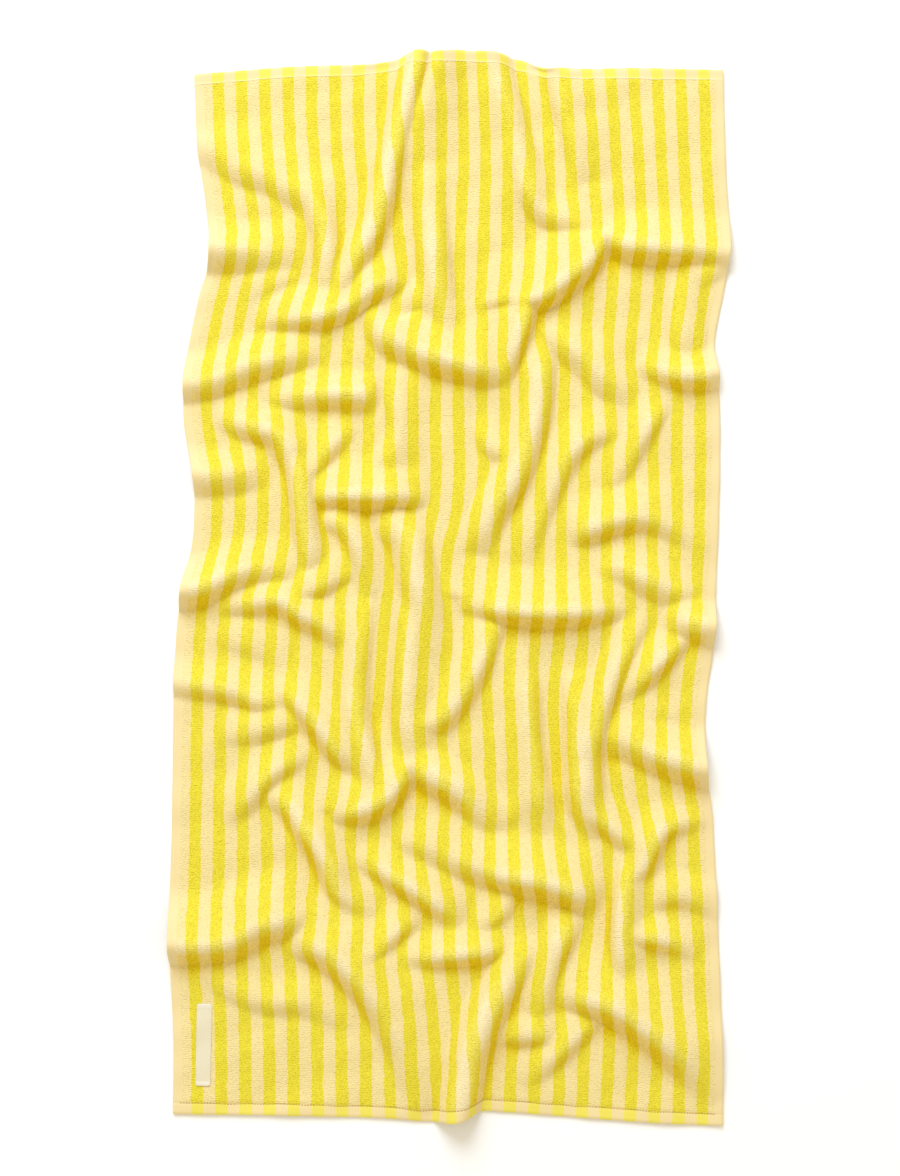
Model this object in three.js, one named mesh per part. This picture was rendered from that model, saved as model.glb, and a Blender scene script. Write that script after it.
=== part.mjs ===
import * as THREE from "three";

// A striped terry bath towel, spread out loose on a flat surface so that it lies in low folds.
// Sizes are in millimetres. X runs across the towel, Y along it towards the top hem, Z upwards.

// Driving dimensions
const clothThickness = 3;
const steepestThickening = 2.2;
const columnsAcross = 36;
const rowsAlong = 70;
const crestStep = 9;
const crestPull = 8;
const foldBlend = 3;
const shortFlank = 31;
const drop = 0.8;
const climb = 0.6;
const climbPower = 1.7;
const slopeStep = 3;
const labelWidth = 18;
const labelLength = 98;
const labelThickness = 0.6;
const labelCorner = 2.5;
const labelCentre = { x: -300, y: -564 };
const labelTurn = THREE.MathUtils.degToRad(-0.8);
const seamGap = 0.3;

// The four edges as they lie, each a smooth line through x, y points.
const leftEdge = [
  [-336, -646], [-336, -560], [-342, -440], [-340, -300], [-338, -100], [-333, -32], [-318, 45],
  [-316, 115], [-329, 190], [-329, 250], [-316, 330], [-299, 405], [-304, 460], [-315, 540], [-320, 627],
];
const rightEdge = [
  [325, -660], [324, -540], [319, -380], [314, -275], [307, -228], [308, -155], [318, -82], [322, 0],
  [328, 150], [327, 240], [322, 288], [335, 360], [342, 412], [338, 510], [336, 633],
];
const bottomEdge = [
  [-336, -646], [-200, -648], [-80, -651], [-20, -655], [8, -653], [30, -643], [70, -644],
  [150, -650], [250, -657], [325, -660],
];
const topEdge = [
  [-320, 627], [-210, 636], [-95, 641], [-68, 646], [-42, 652], [-20, 651], [10, 654], [85, 645],
  [122, 633], [220, 635], [336, 633],
];

// One row for each fold: how far its flanks reach on the crest's left-hand and right-hand side, and
// the x, y, rise points that the crest runs through.
const folds = [
  // top hem and the slopes below it
  { left: 60, right: 24, crest: [
    [-318, 548, 6], [-262, 512, 12], [-215, 495, 13], [-175, 470, 12], [-150, 440, 0],
  ] },
  { left: 18, right: 18, crest: [
    [-188, 488, 0], [-170, 463, 12], [-159, 435, 17], [-155, 405, 17], [-155, 378, 12], [-161, 348, 0],
  ] },
  { left: 22, right: 16, crest: [
    [-148, 345, 0], [-134, 368, 12], [-118, 396, 19], [-101, 425, 21], [-88, 460, 22], [-78, 500, 22],
    [-68, 540, 22], [-55, 590, 23], [-42, 640, 24], [-34, 690, 24],
  ] },
  { left: 16, right: 70, crest: [
    [-62, 470, 0], [-56, 520, 9], [-44, 560, 16], [-31, 600, 20], [-18, 640, 23], [-11, 690, 23],
  ] },
  { left: 60, right: 24, crest: [
    [116, 455, 0], [101, 475, 10], [91, 500, 14], [81, 530, 16], [70, 565, 18], [59, 600, 20],
    [50, 640, 20], [40, 690, 20],
  ] },
  { left: 16, right: 80, crest: [
    [162, 490, 0], [156, 520, 9], [149, 550, 12], [140, 580, 13], [133, 610, 13], [128, 640, 13],
    [124, 690, 13],
  ] },
  { left: 40, right: 19, crest: [
    [60, 585, 0], [72, 545, 8], [84, 510, 13], [96, 478, 16], [111, 457, 14], [135, 446, 12],
    [165, 440, 8], [195, 436, 0],
  ] },
  { left: 55, right: 20, crest: [
    [184, 432, 8], [212, 413, 24], [250, 408, 26], [300, 407, 22], [355, 400, 16],
  ] },
  { left: 70, right: 17, crest: [
    [82, 343, 14], [112, 349, 24], [140, 369, 27], [163, 388, 26], [178, 410, 20], [187, 436, 4],
  ] },
  { left: 45, right: 14, crest: [
    [54, 240, 0], [66, 262, 14], [79, 292, 22], [88, 322, 22], [93, 345, 12], [98, 365, 0],
  ] },
  { left: 24, right: 22, crest: [
    [-2, 285, 0], [-10, 320, 11], [-19, 360, 18], [-23, 400, 19], [-27, 445, 14], [-30, 495, 8],
    [-32, 550, 0],
  ] },

  // upper left
  { left: 45, right: 30, crest: [
    [-325, 412, 22], [-262, 407, 20], [-222, 405, 15], [-182, 414, 0],
  ] },
  { left: 50, right: 18, crest: [
    [-250, 322, 0], [-200, 322, 16], [-160, 325, 22], [-125, 340, 16], [-92, 363, 18], [-50, 374, 0],
  ] },
  { left: 30, right: 20, crest: [
    [-262, 348, 0], [-222, 368, 7], [-185, 386, 0],
  ] },
  { left: 30, right: 20, crest: [
    [-68, 346, 0], [-35, 345, 9], [-10, 325, 8], [8, 298, 0],
  ] },
  { left: 70, right: 23, crest: [
    [-86, 336, 0], [-89, 316, 12], [-80, 301, 18], [-56, 287, 20], [-25, 274, 26], [8, 265, 27],
    [38, 259, 22], [68, 262, 0],
  ] },
  { left: 20, right: 45, crest: [
    [-108, 128, 0], [-80, 146, 9], [-64, 180, 11], [-66, 225, 11], [-66, 270, 0],
  ] },
  { left: 45, right: 22, crest: [
    [-350, 236, 18], [-290, 246, 19], [-250, 262, 20], [-210, 272, 16], [-150, 294, 0],
  ] },
  { left: 35, right: 20, crest: [
    [-240, 224, 0], [-190, 227, 12], [-140, 228, 19], [-108, 226, 17], [-92, 224, 0],
  ] },
  { left: 40, right: 20, crest: [
    [-295, 208, 0], [-250, 190, 16], [-215, 178, 20], [-197, 161, 18], [-186, 135, 0],
  ] },
  { left: 18, right: 19, crest: [
    [-168, 0, 0], [-174, 32, 14], [-180, 68, 20], [-184, 105, 21], [-190, 135, 20], [-203, 158, 14],
    [-225, 175, 0],
  ] },
  { left: 35, right: 14, crest: [
    [-182, 108, 0], [-171, 134, 13], [-156, 155, 14], [-139, 175, 9], [-120, 195, 0],
  ] },
  { left: 40, right: 27, crest: [
    [-345, 130, 19], [-290, 129, 17], [-258, 132, 13], [-222, 142, 0],
  ] },
  { left: 55, right: 18, crest: [
    [-178, 98, 0], [-160, 102, 17], [-125, 102, 26], [-90, 101, 26], [-58, 103, 17], [-28, 107, 0],
  ] },
  { left: 32, right: 17, crest: [
    [-168, 72, 0], [-145, 72, 12], [-125, 60, 15], [-108, 20, 13], [-98, -25, 0],
  ] },
  { left: 26, right: 26, crest: [
    [-94, 88, 0], [-73, 67, 13], [-55, 48, 20], [-47, 20, 24], [-41, -10, 24], [-34, -42, 16],
    [-25, -78, 9], [-12, -125, 0],
  ] },

  // upper right
  { left: 30, right: 18, crest: [
    [284, 356, 0], [308, 378, 6], [345, 398, 6],
  ] },
  { left: 20, right: 30, crest: [
    [290, 262, 0], [283, 300, 10], [281, 340, 10], [286, 385, 0],
  ] },
  { left: 40, right: 24, crest: [
    [105, 314, 0], [140, 292, 13], [165, 272, 14], [190, 246, 13], [228, 230, 0],
  ] },
  { left: 40, right: 19, crest: [
    [226, 271, 0], [250, 262, 13], [275, 252, 21], [300, 250, 22], [350, 258, 18],
  ] },
  { left: 28, right: 20, crest: [
    [34, 30, 0], [38, 56, 14], [50, 84, 20], [69, 110, 22], [85, 142, 22], [96, 178, 21],
    [104, 215, 19], [107, 250, 17], [106, 280, 8], [104, 305, 0],
  ] },
  { left: 40, right: 17, crest: [
    [84, 15, 0], [98, 62, 9], [116, 102, 12], [134, 140, 15], [154, 165, 15], [178, 180, 10],
    [212, 182, 0],
  ] },
  { left: 35, right: 15, crest: [
    [186, 108, 0], [210, 140, 9], [226, 166, 12], [242, 193, 13], [258, 220, 0],
  ] },
  { left: 36, right: 15, crest: [
    [34, 200, 0], [44, 170, 8], [60, 156, 10], [88, 150, 0],
  ] },
  { left: 50, right: 19, crest: [
    [138, 56, 0], [166, 61, 18], [200, 72, 19], [230, 76, 17], [262, 68, 11], [318, 36, 0],
  ] },

  // middle left
  { left: 45, right: 24, crest: [
    [-360, -18, 26], [-305, -10, 27], [-275, 4, 24], [-245, 13, 18], [-178, 12, 0],
  ] },
  { left: 35, right: 18, crest: [
    [-302, -32, 0], [-250, -28, 14], [-210, -26, 18], [-186, -41, 20], [-160, -54, 17], [-112, -86, 0],
  ] },
  { left: 30, right: 14, crest: [
    [-205, -19, 0], [-170, -12, 13], [-145, 2, 10], [-112, 16, 0],
  ] },
  { left: 30, right: 18, crest: [
    [-302, -60, 0], [-250, -78, 6], [-198, -96, 0],
  ] },
  { left: 40, right: 18, crest: [
    [-355, -124, 11], [-300, -130, 14], [-262, -137, 14], [-235, -148, 16], [-192, -146, 0],
  ] },
  { left: 45, right: 18, crest: [
    [-220, -126, 0], [-192, -147, 18], [-172, -166, 22], [-155, -187, 22], [-138, -208, 18],
    [-90, -244, 0],
  ] },
  { left: 30, right: 19, crest: [
    [-296, -187, 0], [-245, -184, 11], [-210, -176, 12], [-172, -166, 0],
  ] },
  { left: 40, right: 16, crest: [
    [-282, -294, 0], [-248, -267, 12], [-229, -244, 15], [-208, -227, 12], [-168, -206, 0],
  ] },
  { left: 34, right: 19, crest: [
    [-230, -254, 0], [-196, -275, 17], [-178, -300, 22], [-161, -326, 25], [-147, -350, 24],
    [-135, -378, 18], [-110, -398, 8], [-82, -402, 0],
  ] },
  { left: 26, right: 17, crest: [
    [-80, -275, 0], [-95, -240, 17], [-107, -205, 21], [-116, -172, 20], [-118, -130, 14],
    [-115, -90, 14], [-112, -50, 9], [-110, -20, 0],
  ] },
  { left: 24, right: 55, crest: [
    [-20, -225, 0], [-42, -208, 12], [-52, -180, 19], [-54, -150, 20], [-52, -100, 20],
    [-48, -60, 17], [-46, -30, 10], [-45, 0, 0],
  ] },

  // middle right
  { left: 60, right: 19, crest: [
    [24, -28, 8], [58, -37, 24], [95, -41, 28], [130, -42, 28], [165, -39, 24], [200, -34, 10],
    [226, -38, 0],
  ] },
  { left: 35, right: 23, crest: [
    [164, 12, 0], [205, 14, 12], [235, 2, 16], [262, -10, 14], [304, -18, 0],
  ] },
  { left: 35, right: 26, crest: [
    [256, -44, 0], [285, -50, 20], [345, -66, 25],
  ] },
  { left: 40, right: 18, crest: [
    [-60, -184, 0], [-18, -172, 16], [4, -149, 18], [21, -123, 18], [35, -95, 17], [45, -65, 12],
    [50, -35, 0],
  ] },
  { left: 50, right: 18, crest: [
    [114, -310, 0], [104, -270, 13], [97, -230, 16], [92, -190, 16], [90, -150, 15], [86, -115, 10],
    [76, -70, 0],
  ] },
  { left: 36, right: 15, crest: [
    [200, -150, 0], [230, -121, 16], [252, -100, 20], [276, -76, 8],
  ] },
  { left: 24, right: 16, crest: [
    [172, -290, 0], [166, -262, 10], [166, -230, 17], [170, -200, 21], [178, -166, 21],
    [189, -134, 20], [203, -102, 18], [218, -72, 11], [236, -42, 0],
  ] },
  { left: 20, right: 30, crest: [
    [182, -308, 0], [168, -292, 14], [158, -268, 22], [154, -230, 23], [154, -190, 22],
    [153, -150, 17], [150, -110, 0],
  ] },
  { left: 30, right: 16, crest: [
    [190, -153, 0], [235, -162, 5], [292, -160, 0],
  ] },
  { left: 50, right: 26, crest: [
    [172, -192, 0], [212, -196, 18], [240, -208, 24], [265, -218, 28], [335, -238, 31],
  ] },
  { left: 60, right: 18, crest: [
    [-136, -282, 10], [-106, -279, 24], [-83, -267, 26], [-67, -248, 24], [-54, -216, 8],
  ] },
  { left: 30, right: 22, crest: [
    [-56, -218, 8], [-28, -238, 25], [0, -253, 24], [28, -275, 18], [62, -312, 0],
  ] },
  { left: 30, right: 14, crest: [
    [48, -308, 0], [68, -290, 6], [84, -256, 0],
  ] },
  { left: 60, right: 24, crest: [
    [-76, -304, 0], [-35, -321, 12], [0, -335, 14], [38, -350, 20], [72, -360, 28], [110, -367, 30],
    [145, -378, 27], [178, -394, 0],
  ] },
  { left: 40, right: 18, crest: [
    [-118, -330, 0], [-80, -354, 17], [-50, -373, 20], [-20, -392, 19], [18, -416, 0],
  ] },
  { left: 35, right: 16, crest: [
    [18, -420, 0], [48, -410, 11], [62, -395, 11], [72, -374, 0],
  ] },
  { left: 40, right: 16, crest: [
    [144, -266, 0], [172, -288, 13], [192, -301, 16], [212, -317, 13], [232, -344, 0],
  ] },
  { left: 40, right: 15, crest: [
    [202, -374, 0], [227, -351, 18], [240, -326, 20], [255, -304, 16], [310, -288, 0],
  ] },

  // lower part down to the bottom hem
  { left: 70, right: 27, crest: [
    [-375, -440, 30], [-300, -441, 30], [-268, -436, 29], [-238, -420, 27], [-205, -412, 23],
    [-165, -400, 0],
  ] },
  { left: 85, right: 25, crest: [
    [-205, -430, 0], [-165, -443, 20], [-140, -457, 25], [-118, -477, 25], [-98, -499, 24],
    [-80, -525, 21], [-62, -558, 17], [-45, -600, 11], [-30, -650, 0],
  ] },
  { left: 36, right: 20, crest: [
    [-322, -462, 0], [-292, -478, 2], [-262, -496, 8], [-225, -508, 9], [-180, -511, 9],
    [-110, -538, 0],
  ] },
  { left: 40, right: 15, crest: [
    [-132, -462, 4], [-98, -453, 16], [-80, -438, 17], [-64, -423, 13], [-38, -404, 0],
  ] },
  { left: 35, right: 17, crest: [
    [-82, -458, 0], [-35, -457, 12], [5, -454, 20], [40, -450, 18], [80, -443, 0],
  ] },
  { left: 30, right: 18, crest: [
    [88, -550, 0], [105, -515, 14], [112, -490, 18], [120, -462, 20], [134, -430, 17], [146, -402, 0],
  ] },
  { left: 40, right: 15, crest: [
    [214, -328, 0], [211, -365, 16], [206, -395, 23], [203, -425, 24], [203, -455, 21],
    [208, -485, 10], [214, -505, 0],
  ] },
  { left: 28, right: 15, crest: [
    [226, -398, 0], [262, -384, 11], [288, -387, 10], [335, -410, 0],
  ] },
  { left: 32, right: 15, crest: [
    [190, -432, 0], [232, -433, 16], [262, -439, 13], [302, -456, 0],
  ] },
  { left: 75, right: 25, crest: [
    [116, -490, 0], [155, -503, 21], [190, -515, 29], [218, -530, 31], [243, -548, 30],
    [266, -566, 26], [288, -587, 18], [326, -626, 0],
  ] },
  { left: 30, right: 15, crest: [
    [50, -552, 0], [78, -551, 12], [102, -551, 15], [132, -555, 0],
  ] },
  { left: 36, right: 16, crest: [
    [82, -609, 0], [112, -583, 12], [135, -563, 14], [155, -545, 12], [176, -528, 0],
  ] },
  { left: 28, right: 24, crest: [
    [6, -690, 31], [9, -640, 31], [16, -600, 31], [25, -565, 31], [38, -535, 30], [54, -505, 27],
    [68, -482, 23], [85, -458, 16], [102, -434, 0],
  ] },
];

// A crest as a chain of short straight pieces, each with its own rise at both ends.
function crestChain(points) {
  const curve = new THREE.CatmullRomCurve3(points.map((point) => new THREE.Vector3(...point)));
  const pieces = Math.ceil(curve.getLength() / crestStep);
  return curve.getSpacedPoints(pieces);
}

const crests = folds.map((fold) => ({ ...fold, chain: crestChain(fold.crest) }));

// The nearest place on a crest, with its rise and whether x, y is on its right-hand side.
function nearestOnCrest(x, y, chain) {
  let nearest = { distance: Infinity };
  for (let i = 1; i < chain.length; i += 1) {
    const start = chain[i - 1];
    const end = chain[i];
    const alongX = end.x - start.x;
    const alongY = end.y - start.y;
    const reach = ((x - start.x) * alongX + (y - start.y) * alongY) / (alongX ** 2 + alongY ** 2);
    const share = THREE.MathUtils.clamp(reach, 0, 1);
    const footX = start.x + share * alongX;
    const footY = start.y + share * alongY;
    const distance = Math.hypot(x - footX, y - footY);
    if (distance < nearest.distance) {
      const onRight = alongX * (y - footY) - alongY * (x - footX) < 0;
      const rise = Math.max(0, THREE.MathUtils.lerp(start.z, end.z, share));
      nearest = { distance, rise, onRight, x: footX, y: footY };
    }
  }
  return nearest;
}

// The height of one fold over x, y. A long flank climbs ever faster to the crest, and a short one
// drops ever faster to its foot, both eased by a cosine.
function foldHeight(x, y, fold) {
  const { distance, rise, onRight } = nearestOnCrest(x, y, fold.chain);
  const flank = onRight ? fold.right : fold.left;
  if (distance >= flank) return 0;
  const t = distance / flank;
  const cosine = (1 + Math.cos(Math.PI * t)) / 2;
  if (flank < shortFlank) return rise * (drop * (1 - t ** 2) + (1 - drop) * cosine);
  return rise * (climb * (1 - t) ** climbPower + (1 - climb) * cosine);
}

// The underside of the cloth: the folds joined smoothly, and exactly zero where none reaches.
function undersideHeight(x, y) {
  const sum = crests.reduce((total, fold) => total + foldHeight(x, y, fold) ** foldBlend, 0);
  return sum ** (1 / foldBlend);
}

// The cloth is as thick across a slope as on the flat, so it is thicker when measured upright.
function uprightThickness(x, y) {
  const slopeX = (undersideHeight(x + slopeStep, y) - undersideHeight(x - slopeStep, y)) / (2 * slopeStep);
  const slopeY = (undersideHeight(x, y + slopeStep) - undersideHeight(x, y - slopeStep)) / (2 * slopeStep);
  return clothThickness * Math.min(steepestThickening, Math.hypot(1, slopeX, slopeY));
}

function edgeCurve(points) {
  return new THREE.CatmullRomCurve3(points.map(([x, y]) => new THREE.Vector3(x, y, 0)));
}

// A place on the laid cloth from its share across and its share along, blended from the four edges.
function makeSpread() {
  const left = edgeCurve(leftEdge);
  const right = edgeCurve(rightEdge);
  const bottom = edgeCurve(bottomEdge);
  const top = edgeCurve(topEdge);
  return (across, along) => {
    const fromSides = left.getPointAt(along).lerp(right.getPointAt(along), across);
    const fromEnds = bottom.getPointAt(across).lerp(top.getPointAt(across), along);
    const lowCorners = left.getPointAt(0).lerp(right.getPointAt(0), across);
    const highCorners = left.getPointAt(1).lerp(right.getPointAt(1), across);
    return fromSides.add(fromEnds).sub(lowCorners.lerp(highCorners, along));
  };
}

// Points close to a crest are moved onto it, so that the folds keep their full height.
function pullToCrest(point) {
  let closest = { distance: crestPull };
  for (const fold of crests) {
    const nearest = nearestOnCrest(point.x, point.y, fold.chain);
    if (nearest.distance < closest.distance && nearest.rise > clothThickness) closest = nearest;
  }
  if (closest.rise) point.set(closest.x, closest.y, 0);
  return point;
}

// The closed sheet: an upper and a lower grid of points, joined all round by a narrow rim.
function buildTowelGeometry() {
  const spread = makeSpread();
  const pointsAcross = columnsAcross + 1;
  const layerSize = pointsAcross * (rowsAlong + 1);
  const lower = [];
  const upper = [];
  for (let row = 0; row <= rowsAlong; row += 1) {
    for (let column = 0; column <= columnsAcross; column += 1) {
      const place = spread(column / columnsAcross, row / rowsAlong);
      const inside = column > 0 && column < columnsAcross && row > 0 && row < rowsAlong;
      const { x, y } = inside ? pullToCrest(place) : place;
      const height = undersideHeight(x, y);
      lower.push(new THREE.Vector3(x, y, height));
      upper.push(new THREE.Vector3(x, y, height + uprightThickness(x, y)));
    }
  }

  const faces = [];
  for (let row = 0; row < rowsAlong; row += 1) {
    for (let column = 0; column < columnsAcross; column += 1) {
      const a = row * pointsAcross + column;
      const b = a + 1;
      const c = b + pointsAcross;
      const d = a + pointsAcross;
      const alongFirst = Math.abs(lower[a].z - lower[c].z) < Math.abs(lower[b].z - lower[d].z);
      const halves = alongFirst ? [[a, b, c], [a, c, d]] : [[a, b, d], [b, c, d]];
      for (const [i, j, k] of halves) {
        faces.push(layerSize + i, layerSize + j, layerSize + k);
        faces.push(i, k, j);
      }
    }
  }
  const addRim = (i, j) => faces.push(i, j, layerSize + j, i, layerSize + j, layerSize + i);
  const lastRow = rowsAlong * pointsAcross;
  for (let column = 0; column < columnsAcross; column += 1) {
    addRim(column, column + 1);
    addRim(lastRow + column + 1, lastRow + column);
  }
  for (let row = 0; row < rowsAlong; row += 1) {
    const start = row * pointsAcross;
    addRim(start + pointsAcross, start);
    addRim(start + columnsAcross, start + columnsAcross + pointsAcross);
  }

  const geometry = new THREE.BufferGeometry().setFromPoints([...lower, ...upper]);
  geometry.setIndex(faces);
  geometry.computeVertexNormals();
  return geometry;
}

// The label is a flat tape with rounded corners.
function buildLabelGeometry() {
  const halfWidth = labelWidth / 2 - labelCorner;
  const halfLength = labelLength / 2 - labelCorner;
  const corners = [[1, 1, 0], [-1, 1, 1], [-1, -1, 2], [1, -1, 3]];
  const outline = new THREE.Shape();
  for (const [sideX, sideY, quarter] of corners) {
    const from = (quarter * Math.PI) / 2;
    outline.absarc(sideX * halfWidth, sideY * halfLength, labelCorner, from, from + Math.PI / 2, false);
  }
  outline.closePath();
  return new THREE.ExtrudeGeometry(outline, { depth: labelThickness, bevelEnabled: false, curveSegments: 3 });
}

const terry = new THREE.MeshStandardMaterial({ color: 0xf6e668, roughness: 0.95, metalness: 0 });
const tape = new THREE.MeshStandardMaterial({ color: 0xf1e6ca, roughness: 0.8, metalness: 0 });

const towel = new THREE.Mesh(buildTowelGeometry(), terry);
towel.name = "towel";

const label = new THREE.Mesh(buildLabelGeometry(), tape);
label.name = "label";
label.position.set(labelCentre.x, labelCentre.y, clothThickness + seamGap);
label.rotation.z = labelTurn;

const group = new THREE.Group();
group.add(towel, label);

// The middle of the laid towel stands over the origin.
const middle = new THREE.Box3().setFromObject(group).getCenter(new THREE.Vector3());
group.position.set(-middle.x, -middle.y, 0);

export default group;
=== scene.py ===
import math

import bpy
import numpy as np
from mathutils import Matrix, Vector


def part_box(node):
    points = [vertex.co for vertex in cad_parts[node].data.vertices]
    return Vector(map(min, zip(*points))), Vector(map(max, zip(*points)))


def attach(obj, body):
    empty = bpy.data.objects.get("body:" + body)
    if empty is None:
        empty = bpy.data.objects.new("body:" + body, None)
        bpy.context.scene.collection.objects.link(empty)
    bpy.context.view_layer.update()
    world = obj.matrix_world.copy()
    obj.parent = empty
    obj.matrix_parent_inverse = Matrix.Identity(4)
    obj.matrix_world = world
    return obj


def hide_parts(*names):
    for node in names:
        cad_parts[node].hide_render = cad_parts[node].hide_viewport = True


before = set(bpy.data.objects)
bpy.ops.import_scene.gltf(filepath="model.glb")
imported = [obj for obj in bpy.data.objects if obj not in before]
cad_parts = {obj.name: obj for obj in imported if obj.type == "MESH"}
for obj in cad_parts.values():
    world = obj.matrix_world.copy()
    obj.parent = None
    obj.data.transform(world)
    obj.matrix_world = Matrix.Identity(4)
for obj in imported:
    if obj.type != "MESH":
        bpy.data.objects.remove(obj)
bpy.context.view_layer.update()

# Shapes are worked out in millimetres, with X across the towel and Y up to the top hem.
millimetre = 0.001

towel = {
    "width": 700.0,  # flat, from edge to edge
    "length": 1400.0,  # flat, from hem to hem
    "pile": 3.0,  # thickness with its loops
    "hem": 2.3,  # the folded flat-woven end
    "hemWidth": 13.0,
    "selvedge": 2.5,  # the flat-woven side band
    "selvedgeWidth": 10.0,
    "groove": 1.9,  # where the bottom seam pulls the cloth down
    "rib": 0.5,  # how far the top seam's rib stands up
    "seamWidth": 0.9,
    "selvedgeStep": (7.0, 12.0),  # from the edge, where the side band thickens into the pile
    "hemStep": (12.5, 16.0),  # from the end, in the same way
    "edgeBulge": 0.7,  # how far the rounded rim stands out
    "foldBlend": 3.0,  # how sharply two folds meet
    "shortFlank": 31.0,  # where a flank no longer counts as short
    "climb": 0.6,  # how much a long flank steepens towards the crest
    "drop": 0.8,  # how much a short flank steepens towards its foot
    "climbPower": 1.7,
    "crestStep": 6.0,  # between the points of a crest line
    "roundness": 1.6,  # how softly crests and feet are rounded
    "reliefReach": 15.0,  # crests are told from hollows against the cloth this far around
    "shelterTurns": 8,  # directions in which the sky is looked at
    "shelterReaches": (6.0, 12.0, 20.0, 32.0, 48.0),
    "shear": 0.15,  # firmness of slanting pairs against that of the threads
    "stiffness": 0.008,  # against bending
    "holdPlace": 0.004,  # pull towards the place where a point started
    "holdHeight": 0.02,  # pull towards the height that the folds give
    "pull": 2.4,  # how far a point moves each turn, against what its threads ask for
    "settling": [(200, 0), (200, 0), (160, 60), (60, 90)],  # held and free turns at each fineness
    "ripple": 1.3,  # slight unevenness between the folds
    "rippleWaves": 14,
    "rippleLengths": (38, 110),
    "rippleDepth": 2.2,  # how much the waves change it
    "cellsAcross": 196,  # between the two selvedges
    "cellsAlong": 391,  # between the two hems
    "underStep": 3,  # the underside has a point for every third one on top
    "leftMargin": 21.5,  # peach before the first yellow stripe
    "stripePair": 29.4,  # one yellow and one peach stripe
    "yellowStripes": 23,
    "seed": 7,
}

# The four edges as they lie, each a smooth line through x, y points.
leftEdge = [
    (-336, -646), (-336, -560), (-342, -440), (-340, -300), (-338, -100), (-333, -32), (-318, 45),
    (-316, 115), (-329, 190), (-329, 250), (-316, 330), (-299, 405), (-304, 460), (-315, 540),
    (-320, 627),
]
rightEdge = [
    (325, -660), (324, -540), (319, -380), (314, -275), (307, -228), (308, -155), (318, -82),
    (322, 0), (328, 150), (327, 240), (322, 288), (335, 360), (342, 412), (338, 510), (336, 633),
]
bottomEdge = [
    (-336, -646), (-200, -648), (-80, -651), (-20, -655), (8, -653), (30, -643), (70, -644),
    (150, -650), (250, -657), (325, -660),
]
topEdge = [
    (-320, 627), (-210, 636), (-95, 641), (-68, 646), (-42, 652), (-20, 651), (10, 654), (85, 645),
    (122, 633), (220, 635), (336, 633),
]

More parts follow.
